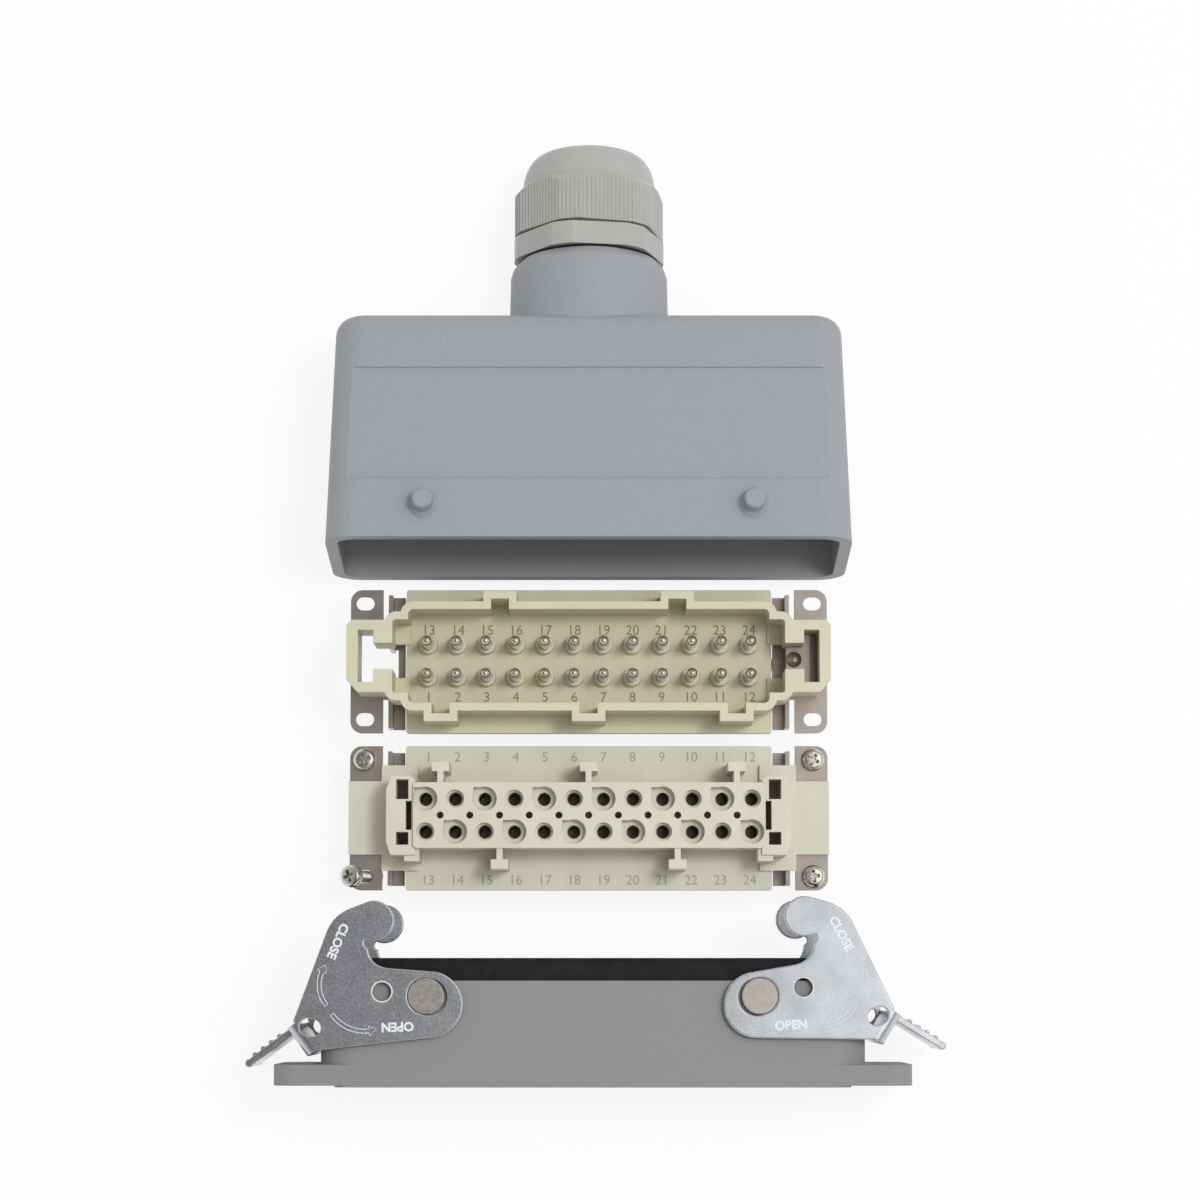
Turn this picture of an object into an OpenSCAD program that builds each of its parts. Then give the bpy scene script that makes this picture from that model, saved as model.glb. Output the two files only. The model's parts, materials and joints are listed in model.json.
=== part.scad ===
// Heavy duty rectangular connector, taken apart and laid flat on a table:
// hood with cable gland, male insert, female insert and bulkhead housing
// with two locking levers. Millimetres, +Z up from the table, +X to the
// right, +Y away from the housing towards the cable gland.

/* [Contacts] */
// Number of contacts in one row of an insert
contacts_per_row = 12; // [6:1:12]
// Distance between neighbouring contacts of a row
contact_pitch = 6.77; // [6.4:0.01:7.2]
// Distance between the two contact rows
row_gap = 7.5; // [7.2:0.1:8]
// Diameter of a contact pin
pin_d = 2.5; // [2:0.1:2.8]
// Height of a pin's tip over the floor of the male insert
pin_height = 15; // [12:0.5:16]

/* [Inserts] */
// Height of the terminal block, up to the contact face
block_height = 20; // [18:0.5:24]
// Width of the terminal block at the table
block_width = 29.6; // [28:0.2:30]
// Width of the insert flange that carries the printed strips
strip_width = 33.4; // [33:0.1:34]
// Thickness of the insert flange
strip_thickness = 3; // [2:0.5:4]
// Height of the shroud and of the socket block over the contact face
face_height = 17; // [15:0.5:19]
// Width of the male shroud
shroud_width = 25.1; // [24.6:0.1:26]
// Wall of the male shroud
shroud_wall = 1.8; // [1.4:0.1:2]
// Depth of the key grooves that bulge out of the shroud
key_depth = 2.4; // [2:0.1:2.8]
// Width of one key groove's bulge
key_width = 7.7; // [7:0.1:8.4]
// Width of the female socket block
socket_block_width = 15; // [14.6:0.2:16]
// Thickness of the earth plates
plate_thickness = 1; // [0.8:0.1:1.2]
// Distance between the mounting slots across the insert
slot_spacing_y = 27; // [26.6:0.1:27.4]
// Width of a mounting slot
slot_width = 3.1; // [3:0.1:3.4]
// Length of a mounting slot
slot_length = 4.2; // [3.8:0.1:4.6]
// Thread diameter of the mounting screws
mount_screw_d = 2.9; // [2.5:0.1:2.9]

/* [Hood] */
// Width of the hood at its rim
hood_width = 43; // [42:0.5:46]
// Height of the hood's body from the rim to its top
hood_height = 53.4; // [50:0.5:60]
// Wall thickness of the hood
hood_wall = 2.8; // [2.4:0.1:3.2]
// Radius of the hood's upright corners
hood_corner = 7; // [6:0.5:8]
// Radius of the rounding round the hood's top
hood_top_round = 4.3; // [3:0.1:5]
// Height of the raised skirt over the rim
skirt_height = 13.7; // [12.5:0.1:16]
// Height of the raised band under the top
band_height = 13.4; // [10:0.1:16]
// How far the skirt and the band stand proud
band_relief = 0.5; // [0.3:0.1:0.8]
// Diameter of a locking peg
peg_d = 4.7; // [4:0.1:5]
// How far a locking peg stands out
peg_length = 6.1; // [5.5:0.1:6.6]
// Height of the pegs over the rim
peg_height = 7.6; // [7:0.1:8.5]
// Distance from the middle to a locking peg is this much under the slots'
peg_inset = 14.5; // [13:0.1:16]
// Height of the round boss that takes the gland
boss_height = 17; // [14:0.5:20]
// Diameter of the boss
boss_d = 37; // [36:0.2:39]

/* [Gland] */
// Diameter of the gland's connecting thread
gland_thread_d = 25; // [24:0.5:26]
// Width across the gland's flats
gland_flats = 32.6; // [32:0.2:34]
// Diameter over the turned corners of the gland's hexagons
gland_corner_d = 35; // [34:0.2:36]
// Height of the gland body's hexagon
gland_hex_height = 5.4; // [5:0.1:7]
// Thickness of the gland's washer
gland_washer_h = 0.7; // [0.6:0.1:1.5]
// Length of the ribbed grip of the gland nut
grip_length = 12; // [10:0.5:14]
// Height of the nut's dome over the grip
dome_height = 7.7; // [6:0.1:9]
// Largest cable that the gland takes
cable_d = 18; // [13:0.5:18]

/* [Housing] */
// Length of the housing flange past the insert slots at each end
flange_margin = 20; // [19:0.5:24]
// Width of the flange and of the walls
housing_width = 43; // [42:0.5:45]
// Thickness of the flange
flange_thickness = 4.7; // [4:0.1:5.5]
// Height of the metal rim over the flange's underside
rim_height = 23.5; // [23:0.1:27]
// Wall thickness of the housing
housing_wall = 3; // [2.8:0.1:3.2]
// Distance between the flange holes along the flange
flange_hole_x = 130; // [128:0.5:132]
// Distance between the flange holes across the flange
flange_hole_y = 32; // [31:0.5:33]
// Diameter of a flange hole
flange_hole_d = 4.4; // [4.2:0.1:5]
// How far the gasket stands proud of the metal rim
gasket_proud = 5.1; // [4:0.1:6]

/* [Levers] */
// Depth of a lever's axis under the metal rim
pivot_drop = 3.44; // [3:0.01:3.6]
// Sheet thickness of the levers
lever_sheet = 1.8; // [1.4:0.1:2]
// Gap between a lever's side and the housing wall
lever_gap = 0.8; // [0.7:0.1:1.2]
// Diameter of a lever's pivot
pivot_d = 8.1; // [7.6:0.1:8.4]
// Length of a lever's finger tab
tab_length = 12; // [10:0.5:14]
// Width of a lever's finger tab
tab_width = 28; // [20:1:34]
// Opening angle of the left lever as it lies
left_open = 37; // [0:1:39]
// Opening angle of the right lever as it lies
right_open = 31.5; // [0:0.5:39]

/* [Layout on the table] */
// Free distance between the housing's gasket and the female insert
female_clear = 15.8; // [15.4:0.1:20]
// Free distance between the two inserts
insert_clear = 3.0; // [2:0.1:8]
// Free distance between the male insert and the hood's lower rim
hood_clear = 3.6; // [3:0.1:10]

/* [Hidden] */
$fn = 48;
eps = 0.01;

// Insert sizes that follow the contacts
row_half = (contacts_per_row - 1) * contact_pitch / 2;
block_half = row_half + 2.8;
strip_half = block_half + 2.4;
slot_x = row_half + 14.765;
slot_y = slot_spacing_y / 2;
plate_end = slot_x + 3.4;
plate_neck = slot_x - 4.2;
plate_fold = plate_neck - 1.2;
plate_half_y = strip_width / 2;
face_z = block_height;
rim_z = face_z + face_height;
contact_z = 6;
screw_z = 10;
clamp_z = 9;
contact_body_d = 4.2;
socket_d = 3.9;
screw_head_d = 5.2;
screw_bore_d = 5.8;
screw_thread_d = 2.6;
tongue_z = face_z + 6;
loose_lean = 25;
loose_lift = 4.9;
key_x_upper = [-3 * contact_pitch, 3 * contact_pitch];
key_x_lower = [-5 * contact_pitch, 0, 5 * contact_pitch];

// Hood sizes
hood_length = 2 * slot_x + 16;
hood_taper_x = 1.75;
hood_taper_y = 0.6;
peg_x = slot_x - peg_inset;
post_depth = 9;
post_r = 4.2;
tapped_r = 1.25;
boss_top = hood_height + boss_height;
peg_reach = hood_width / 2 + peg_length;

// Gland sizes, along the hood's axis from its rim
hex_low = boss_top + gland_washer_h;
hex_high = hex_low + gland_hex_height;
nut_low = hex_high + 0.6;
grip_high = nut_low + grip_length;
dome_high = grip_high + dome_height;
gland_bore_r = cable_d / 2 + 0.3;
claw_r = gland_bore_r + 3;
nut_thread_r = claw_r + 2.2;
hex_turn = 15;
// The nut's corner that points down reaches this far under the axis
nut_reach = gland_corner_d / 2 * cos(hex_turn);
hood_tilt = atan((peg_reach - nut_reach) / (grip_high - peg_height - peg_d / 2));
hood_lift = peg_reach * cos(hood_tilt) + (peg_height + peg_d / 2) * sin(hood_tilt);

// Housing sizes
flange_length = 2 * slot_x + 2 * flange_margin;
wall_length = 2 * slot_x + 19.2;
pivot_x = peg_x;
pivot_z = rim_height - pivot_drop;
pad_depth = 0.4;
ledge_z = rim_height - 0.9;
ledge_inset = 0.9;
gasket_top = rim_height + gasket_proud;
gasket_w = 2.6;
gasket_skirt = 1.2;
ear_r = 5.2;
pivot_shank_r = 2.3;
ear_proud = lever_gap - 0.3;
seal_w = 1.4;
seal_depth = 1.8;
seal_inset = 0.4;
cutout_x = slot_x * 2 + 8;
cutout_y = 35;

// Lever sizes; the sheet is drawn round its pivot with the lever closed
lever_inner = housing_width / 2 + lever_gap;
lever_outer = lever_inner + lever_sheet;
hook_c = [0.8, 20.5];
hook_r = 4.5;
shoulder_c = [-4.4, 17.3];
shoulder_r = 9;
arm_c = [-0.4, -2.06];
arm_r = 7.4;
mouth_c = [0.1, 13.9];
mouth_r = 4.9;
notch_c = [-3.2, 17.2];
notch_r = 1.1;
web_x = 29.3;
web_low = 5.2;
web_high = 12.9;
fold_r = 0.4;
fold_out = fold_r + lever_sheet;
tab_y = web_high;
roll_r = 0.9;

// Places on the table
flange_y = 0;
female_y = gasket_top + female_clear + strip_width / 2;
male_y = female_y + strip_width + insert_clear;
hood_y = male_y + strip_width / 2 + hood_clear + hood_width / 2 * sin(hood_tilt);
gland_far_y = hood_y + dome_high * cos(hood_tilt) + (gland_bore_r + 1) * sin(hood_tilt);
tab_reach_left = pivot_x + tab_corner(left_open);
tab_reach_right = pivot_x + tab_corner(right_open);
middle_x = (tab_reach_right - tab_reach_left) / 2;
middle_y = (gland_far_y - pad_depth) / 2;
insert_x = -1;

shell_paint = [0.60, 0.61, 0.63];
housing_paint = [0.52, 0.53, 0.51];
ivory = [0.84, 0.84, 0.77];
gland_grey = [0.78, 0.78, 0.76];
black_rubber = [0.13, 0.13, 0.14];
nickel = [0.66, 0.62, 0.60];
zinc = [0.68, 0.69, 0.71];
silver = [0.82, 0.80, 0.74];

// Farthest point of a finger tab from its pivot along X, at an opening angle
function tab_corner(a) = (web_x + tab_length) * cos(a) + tab_y * sin(a) + roll_r;

// Point where the tangent from p touches the circle c, r on the side s
function tangent_point(p, c, r, s) =
    let(v = c - p, d = norm(v), a = atan2(v[1], v[0]) + s * asin(r / d))
    p + sqrt(d * d - r * r) * [cos(a), sin(a)];

// Direction of the outer tangent's normal between two circles on the side s
function tangent_normal(c1, r1, c2, r2, s) =
    let(v = c2 - c1, a = atan2(v[1], v[0]) + s * acos((r1 - r2) / norm(v)))
    [cos(a), sin(a)];

module at_housing() translate([-middle_x, flange_y - middle_y, lever_outer]) rotate([-90, 0, 0]) children();
module at_hood() translate([-middle_x + insert_x, hood_y - middle_y, hood_lift])
    rotate([-90 - hood_tilt, 0, 0]) children();
module at_male() translate([-middle_x + insert_x, male_y - middle_y, 0]) children();
module at_female() translate([-middle_x + insert_x, female_y - middle_y, 0]) children();

module four_corners(x, y) for (i = [-1, 1], j = [-1, 1]) translate([i * x, j * y, 0]) children();

// Rectangle with true round corners
module rounded(l, w, r) {
    square([l - 2 * r, w], center = true);
    square([l, w - 2 * r], center = true);
    four_corners(l / 2 - r, w / 2 - r) circle(r);
}

module slab(l, w, r, z0, z1) translate([0, 0, z0]) linear_extrude(z1 - z0) rounded(l, w, r);

module rod(r, z0, z1) translate([0, 0, z0]) cylinder(r = r, h = z1 - z0);

module block(x0, x1, y0, y1, z0, z1) translate([x0, y0, z0]) cube([x1 - x0, y1 - y0, z1 - z0]);

// Rod along X from x0 to x1
module rod_x(r, x0, x1) translate([x0, 0, 0]) rotate([0, 90, 0]) cylinder(r = r, h = x1 - x0);

// Rod along Y from y0 to y1
module rod_y(r, y0, y1) translate([0, y0, 0]) rotate([-90, 0, 0]) cylinder(r = r, h = y1 - y0);

// ---------------------------------------------------------------- hood

// Corner column that leans in as it rises and rounds over at the top
module hood_column(r, top_round, h) rotate_extrude($fn = 32)
    polygon(concat([[0, 0], [r, 0]],
        [for (a = [0:15:90]) [r - top_round + top_round * cos(a), h - top_round + top_round * sin(a)]],
        [[0, h]]));

module hood_form(inset, z0, h, top_round) hull() {
    four_corners(hood_length / 2 - hood_corner, hood_width / 2 - hood_corner)
        translate([0, 0, z0]) cylinder(r = hood_corner - inset, h = 0.2, $fn = 32);
    four_corners(hood_length / 2 - hood_taper_x - hood_corner, hood_width / 2 - hood_taper_y - hood_corner)
        hood_column(hood_corner - inset, top_round, h);
}

module hood_recess(s) {
    low = skirt_height;
    high = hood_height - band_height;
    lean = atan(hood_taper_y / hood_height);
    translate([0, s * (hood_width / 2 - band_relief), 0]) rotate([s * lean, 0, 0])
        translate([0, s > 0 ? 4 : 0, (low + high) / 2]) rotate([90, 0, 0])
            linear_extrude(4) rounded(hood_length - 8, high - low, 3);
}

module peg(s) translate([0, s * (hood_width / 2 - 1.5), peg_height]) rotate([-90 * s, 0, 0]) {
    cylinder(d = peg_d, h = peg_length + 1.1);
    translate([0, 0, peg_length + 1.1]) cylinder(r1 = peg_d / 2, r2 = peg_d / 2 - 0.4, h = 0.4);
    translate([0, 0, 1]) cylinder(r1 = peg_d / 2 + 1.4, r2 = peg_d / 2, h = 1.9);
}

module boss_form() rotate_extrude() polygon([[0, hood_height - hood_wall], [boss_d / 2 + 0.8, hood_height - 1],
    [boss_d / 2 + 0.2, hood_height + 0.8], [boss_d / 2, hood_height + 3], [boss_d / 2 - 0.2, boss_top - 3.4],
    [boss_d / 2 - 0.7, boss_top - 1.7], [boss_d / 2 - 2.1, boss_top], [0, boss_top]]);

module hood_shell() color(shell_paint) at_hood() difference() {
    union() {
        difference() {
            hood_form(0, 0, hood_height, hood_top_round);
            hood_form(hood_wall, -0.2, hood_height - hood_wall, hood_top_round - 1);
            for (s = [-1, 1]) hood_recess(s);
        }
        boss_form();
        for (i = [-1, 1], s = [-1, 1]) translate([i * peg_x, 0, 0]) peg(s);
        four_corners(slot_x, slot_y) rod(post_r, post_depth, hood_height - 1);
        for (i = [-1, 1], j = [-1, 1])
            block(i * slot_x - 1, i * slot_x + 1, j > 0 ? slot_y : -hood_width / 2 + 1.5,
                j > 0 ? hood_width / 2 - 1.5 : -slot_y, post_depth + 3, hood_height - 1);
    }
    four_corners(slot_x, slot_y) rod(tapped_r, post_depth - 1, post_depth + 14);
    rod(gland_thread_d / 2, hood_height - 2 * hood_wall, boss_top + 1);
}

// --------------------------------------------------------------- gland

module turned_hex(flats, corner_d, z0, z1) intersection() {
    rotate([0, 0, hex_turn]) translate([0, 0, z0]) cylinder(d = flats / cos(30), h = z1 - z0, $fn = 6);
    rod(corner_d / 2, z0 - 1, z1 + 1);
}

module gland_washer() color(black_rubber) at_hood() difference() {
    rod(boss_d / 2 - 2.4, boss_top, hex_low);
    rod(gland_thread_d / 2 + 0.05, boss_top - 1, hex_low + 1);
}

module gland_body() color(gland_grey) at_hood() difference() {
    union() {
        rotate([0, 0, -6]) turned_hex(gland_flats, gland_corner_d, hex_low, hex_high);
        rod(gland_thread_d / 2 - 0.05, boss_top - 11, hex_low + 1);
        rod(nut_thread_r - 0.1, hex_high - 1, hex_high + 8);
        rod(claw_r - 0.1, hex_high + 7, grip_high + 2);
    }
    rod(gland_bore_r, boss_top - 12, hex_high + 7);
    rod(claw_r - 1.6, hex_high + 6.99, grip_high + 3);
    for (i = [0:11]) rotate([0, 0, 30 * i]) block(claw_r - 2.6, claw_r + 1, -0.5, 0.5, hex_high + 9, grip_high + 3);
}

module gland_seal() color(black_rubber) at_hood() difference() {
    rod(claw_r - 1.7, hex_high + 7, grip_high + 1);
    rod(gland_bore_r - 0.3, hex_high + 6, grip_high + 2);
}

// Radius of the gland nut's outline at an angle
function hex_radius(a) =
    let(b = ((a % 60) + 60) % 60 - 30)
    min(gland_corner_d / 2, gland_flats / 2 / cos(b));

module grip_outline() difference() {
    intersection() {
        rotate(hex_turn) circle(d = gland_flats / cos(30), $fn = 6);
        circle(d = gland_corner_d);
    }
    for (i = [0:107]) let(a = i * 360 / 108)
        rotate(a + hex_turn) translate([hex_radius(a) + 0.05, 0]) circle(r = 0.3, $fn = 16);
}

module gland_nut() color(gland_grey) at_hood() difference() {
    union() {
        intersection() {
            translate([0, 0, nut_low]) linear_extrude(grip_length) grip_outline();
            rotate_extrude() polygon([[0, nut_low], [gland_corner_d / 2 + 1, nut_low],
                [gland_corner_d / 2 + 1, grip_high - 3.5], [gland_flats / 2 - 0.7, grip_high], [0, grip_high]]);
        }
        rotate_extrude() polygon(concat([[0, nut_low + 1], [gland_flats / 2 - 0.7, nut_low + 1],
            [gland_flats / 2 - 0.7, grip_high - 0.2]],
            [for (a = [0:10:90]) [gland_bore_r + 1.2 + (gland_flats / 2 - 2 - gland_bore_r) * cos(a),
                grip_high - 0.2 + (dome_height + 0.2) * sin(a)]], [[0, dome_high]]));
    }
    rod(nut_thread_r, nut_low - 1, hex_high + 8.5);
    rod(claw_r + 0.3, nut_low, grip_high + 3);
    rod(gland_bore_r, nut_low, dome_high + 1);
    translate([0, 0, dome_high - 0.8]) cylinder(r1 = gland_bore_r, r2 = gland_bore_r + 0.9, h = 0.81);
}

// ------------------------------------------------------- insert details

// Bores of one contact chamber: contact seat, wire entry and screw access
module contact_chamber(s) {
    rod(contact_body_d / 2, contact_z, face_z + 1);
    rod(1.9, -1, contact_z + 1);
    translate([0, 0, screw_z]) {
        rod_y(screw_thread_d / 2 + 0.15, s > 0 ? 0 : -row_gap, s > 0 ? row_gap : 0);
        rod_y(screw_bore_d / 2, s > 0 ? 5.2 : -20, s > 0 ? 20 : -5.2);
    }
}

module each_contact() for (i = [0:contacts_per_row - 1]) translate([i * contact_pitch - row_half, 0, 0]) children();

module terminal_block() {
    slab(2 * block_half, block_width, 1, 0, face_z - strip_thickness + eps);
    slab(2 * strip_half, strip_width, 0.6, face_z - strip_thickness, face_z);
}

module terminal_screw(s) translate([0, s * row_gap / 2, screw_z]) rotate([s > 0 ? -90 : 90, 0, 0]) difference() {
    union() {
        rod(screw_thread_d / 2, 0.9, 6.5);
        rod(screw_head_d / 2, 6.4, 8.4);
    }
    block(-3, 3, -0.4, 0.4, 7.5, 9);
}

module terminal_screws() each_contact() for (s = [-1, 1]) terminal_screw(s);

// Folded earth plate of the right-hand end, with slotted tabs and a leg
module earth_plate() {
    difference() {
        union() {
            translate([0, 0, face_z - plate_thickness]) linear_extrude(plate_thickness) {
                intersection() {
                    translate([plate_end - 10, 0]) rounded(20, 2 * plate_half_y, 2.75);
                    translate([plate_neck, -plate_half_y]) square([20, 2 * plate_half_y]);
                }
                translate([plate_fold - plate_thickness, -8.9]) square([plate_end - plate_fold - 3, 17.8]);
            }
            block(plate_fold - plate_thickness, plate_fold, -plate_half_y + 1.2, plate_half_y - 1.2,
                face_z - 8, face_z);
            block(strip_half + 0.5, plate_fold, -plate_half_y + 1.2, plate_half_y - 1.2,
                face_z - 8, face_z - 8 + plate_thickness);
            block(plate_fold - plate_thickness, plate_fold, -6.5, 6.5, clamp_z - 5, face_z);
        }
        for (s = [-1, 1]) translate([slot_x, s * slot_y, face_z]) mounting_slot(slot_width, slot_length);
        translate([0, 0, clamp_z]) rod_x(1.7, plate_fold - 3, plate_fold + 1);
    }
}

module mounting_slot(w, l) translate([0, 0, -5]) linear_extrude(10) {
    square([l - w, w], center = true);
    for (s = [-1, 1]) translate([s * (l - w) / 2, 0]) circle(d = w);
}

module earth_screw() translate([0, 0, clamp_z]) difference() {
    union() {
        rod_x(1.6, block_half - 1.5, plate_fold + 1.5);
        rod_x(3.2, plate_fold + 0.8, plate_fold + 2.8);
    }
    block(plate_fold + 2, plate_fold + 4, -4, 4, -0.4, 0.4);
}

module earth_clamp() difference() {
    block(plate_fold, plate_fold + 0.8, -4, 4, clamp_z - 4, clamp_z + 4);
    translate([0, 0, clamp_z]) rod_x(1.65, plate_fold - 1, plate_fold + 2);
}

// ------------------------------------------------------------ male insert

// Outline of the shroud, grown or shrunk by g
module shroud_outline(g) {
    w = shroud_width / 2;
    rounded(2 * (strip_half + 0.7 + g), 2 * (w + g), 3 + g);
    rounded(2 * (strip_half + 4.3 + g), 2 * (w - 2.35 + g), 2.6 + g);
    for (x = key_x_upper) translate([x, (w + key_depth + g) / 2])
        square([key_width + 2 * g, w + key_depth + g], center = true);
    for (x = key_x_lower) translate([x, -(w + key_depth + g) / 2])
        square([key_width + 2 * g, w + key_depth + g], center = true);
}

// Guide frame at an end of the shroud, with a T-shaped window
module window_frame() translate([0, 0, face_z]) linear_extrude(face_height) difference() {
    polygon([[strip_half + 2.5, -8.3], [plate_end - 2.6, -8.3], [plate_end, -5.4], [plate_end, 7.2],
        [plate_end - 1.1, 8.3], [strip_half + 2.5, 8.3]]);
    translate([slot_x - 2.7, -6]) square([3.5, 12]);
    translate([slot_x - 9, -3]) square([7, 6]);
}

module male_body() color(ivory) at_male() difference() {
    union() {
        terminal_block();
        translate([0, 0, face_z]) linear_extrude(face_height) difference() {
            shroud_outline(0);
            shroud_outline(-shroud_wall);
        }
        for (i = [0, 1]) mirror([i, 0, 0]) {
            window_frame();
            end_floor();
        }
    }
    each_contact() for (s = [-1, 1]) translate([0, s * row_gap / 2, 0]) contact_chamber(s);
    for (i = [0, 1]) mirror([i, 0, 0]) {
        block(strip_half + 1.6, strip_half + 5, -3, 3, face_z - 1, rim_z + 1);
        translate([0, 0, clamp_z]) rod_x(1.65, block_half - 2, strip_half + 1);
    }
}

// Floor that carries the shroud's end past the terminal block
module end_floor() {
    block(strip_half - 1, strip_half + 3.1, 3.9, 10, face_z - 1, face_z + 1);
    block(strip_half - 1, strip_half + 3.1, -10, -3.9, face_z - 1, face_z + 1);
}

module pins(s) each_contact() translate([0, s * row_gap / 2, 0]) difference() {
    union() {
        rod(pin_d / 2, face_z, face_z + pin_height - pin_d / 2);
        translate([0, 0, face_z + pin_height - pin_d / 2]) sphere(d = pin_d);
        rod(contact_body_d / 2 - 0.1, face_z - 0.5, face_z + 3);
        rod(contact_body_d / 2, contact_z, face_z);
    }
    rod(1.5, contact_z - 1, screw_z + 3);
    translate([0, 0, screw_z]) rod_y(screw_thread_d / 2 + 0.1, s > 0 ? 0 : -3, s > 0 ? 3 : 0);
}

module male_pins_upper() color(silver) at_male() pins(1);
module male_pins_lower() color(silver) at_male() pins(-1);
module male_terminal_screws() color(zinc) at_male() terminal_screws();
module male_earth_plate_left() color(nickel) at_male() mirror([1, 0, 0]) difference() {
    earth_plate();
    window_opening();
}

// Cut-out in an earth plate under the window of the guide frame
module window_opening() {
    block(slot_x - 2.9, slot_x + 1, -6.2, 6.2, face_z - 3, face_z + 1);
    block(plate_fold - 2, slot_x - 2, -3.2, 3.2, -1, face_z + 1);
}

// Earth contact tongue that stands in the window, with a domed rivet
module earth_tongue() {
    block(plate_fold - plate_thickness, plate_fold, -2.9, 2.9, face_z - 1, tongue_z);
    block(plate_fold - plate_thickness, slot_x - 2.6, -2.9, 2.9, tongue_z - plate_thickness, tongue_z);
    block(slot_x - 2.7, slot_x - 0.9, -5.8, 5.8, tongue_z - plate_thickness, tongue_z);
    translate([slot_x - 4.6, 0, tongue_z]) intersection() {
        translate([0, 0, -1.6]) sphere(r = 2.4);
        rod(3, 0, 3);
    }
}

module male_earth_plate_right() color(nickel) at_male() {
    earth_plate();
    earth_tongue();
}
module male_earth_screw() color(zinc) at_male() earth_screw();
module male_earth_clamp() color(nickel) at_male() earth_clamp();

// ---------------------------------------------------------- female insert

// Key that runs in a groove of the male shroud
module key_rib() {
    block(-0.7, 0.7, socket_block_width / 2 - 1, shroud_width / 2 - 0.6, face_z - 1, rim_z - 0.6);
    block(-2, 2, shroud_width / 2 - 2.5, shroud_width / 2 - 0.3, face_z - 1, rim_z - 0.6);
}

// End of the moulding over the right-hand earth plate
module female_end() {
    block(block_half - 0.5, slot_x - 4, -12.2, 12.2, face_z, face_z + 1.6);
    block(slot_x - 5, plate_end + 0.2, -8.5, 8.5, face_z, face_z + 1.6);
    translate([0, 0, face_z]) linear_extrude(face_height - 1) difference() {
        polygon([[block_half - 0.5, -9.05], [block_half + 5.2, -9.05], [block_half + 6.2, -6],
            [block_half + 6.2, 6], [block_half + 5, 9.05], [block_half + 0.6, 9.05], [block_half - 0.5, 8]]);
        translate([block_half + 1.1, 3.7]) square([2.8, 4.5]);
        translate([block_half + 1.1, -6.7]) square([2.8, 2.9]);
    }
    block(block_half - 1.4, block_half + 2.1, -10.4, -7.3, face_z - 1, rim_z - 2);
}

module socket_recess(deep) {
    rod(1.55, face_z, rim_z + 1);
    rod(deep ? 2.75 : 2.05, rim_z - (deep ? 3.5 : 2.5), rim_z + 1);
    if (deep) translate([0, 0, rim_z - 3.5]) block(-2.6, 0, 0, 2.6, 0, 5);
    rod(socket_d / 2 + 0.1, face_z - 1, rim_z - 4.5);
}

module female_body() color(ivory) at_female() difference() {
    union() {
        terminal_block();
        slab(2 * block_half, socket_block_width, 1, face_z - 1, rim_z);
        for (x = key_x_lower) translate([x, 0, 0]) key_rib();
        for (x = key_x_upper) translate([x, 0, 0]) mirror([0, 1, 0]) key_rib();
        female_end();
        mirror([1, 0, 0]) female_end();
    }
    each_contact() for (s = [-1, 1]) translate([0, s * row_gap / 2, 0]) contact_chamber(s);
    for (i = [0:contacts_per_row - 1], s = [-1, 1])
        translate([i * contact_pitch - row_half, s * row_gap / 2, 0]) socket_recess((i % 2 == 0) == (s > 0));
    for (i = [1:contacts_per_row - 1]) translate([(i - 0.5) * contact_pitch - row_half, 0, 0])
        rod(0.8, rim_z - 7, rim_z + 1);
    for (i = [0, 1]) mirror([i, 0, 0]) {
        translate([0, 0, clamp_z]) rod_x(1.65, block_half - 2, strip_half + 1);
        block(block_half + 0.35, block_half + 1.7, -3.3, 3.3, face_z + 4, rim_z + 1);
    }
}

module sockets(s) each_contact() translate([0, s * row_gap / 2, 0]) difference() {
    union() {
        rod(socket_d / 2, face_z - 1, rim_z - 4.6);
        rod(contact_body_d / 2, contact_z, face_z - 0.2);
    }
    rod(pin_d / 2 + 0.05, face_z + 2, rim_z);
    block(-0.25, 0.25, -3, 3, face_z + 5, rim_z);
    rod(1.5, contact_z - 1, screw_z + 3);
    translate([0, 0, screw_z]) rod_y(screw_thread_d / 2 + 0.1, s > 0 ? 0 : -3, s > 0 ? 3 : 0);
}

module female_sockets_upper() color(silver) at_female() sockets(1);
module female_sockets_lower() color(silver) at_female() sockets(-1);
module female_terminal_screws() color(zinc) at_female() terminal_screws();
module female_earth_plate_left() color(nickel) at_female() mirror([1, 0, 0]) earth_plate();
module female_earth_plate_right() color(nickel) at_female() earth_plate();
module female_earth_screw() color(zinc) at_female() earth_screw();
module female_earth_clamp() color(nickel) at_female() earth_clamp();

// Pan-head screw with a cross recess; its head rests at z = 0
module mounting_screw() difference() {
    union() {
        rod(mount_screw_d / 2, -13, 0.5);
        rotate_extrude() polygon([[0, 0], [2.65, 0], [2.65, 0.9], [2.1, 1.7], [1.2, 2.1], [0, 2.1]]);
    }
    for (a = [0, 90]) rotate([0, 0, a + 20]) block(-1.4, 1.4, -0.3, 0.3, 1, 3);
}

// Three screws hang in their slots; the fourth is screwed out and leans
module female_mounting_screws() color(silver) at_female() {
    for (i = [-1, 1], j = [-1, 1]) if (i + j > -2) translate([i * slot_x, j * slot_y, face_z]) mounting_screw();
    translate([-slot_x - 0.3, -slot_y, face_z - plate_thickness / 2]) rotate([0, -loose_lean, 0])
        translate([0, 0, loose_lift]) mounting_screw();
}

// ---------------------------------------------------------------- housing

module pivot_places() for (i = [-1, 1], s = [-1, 1])
    translate([i * pivot_x, 0, pivot_z]) rotate([s > 0 ? -90 : 90, 0, 0]) children();

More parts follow.
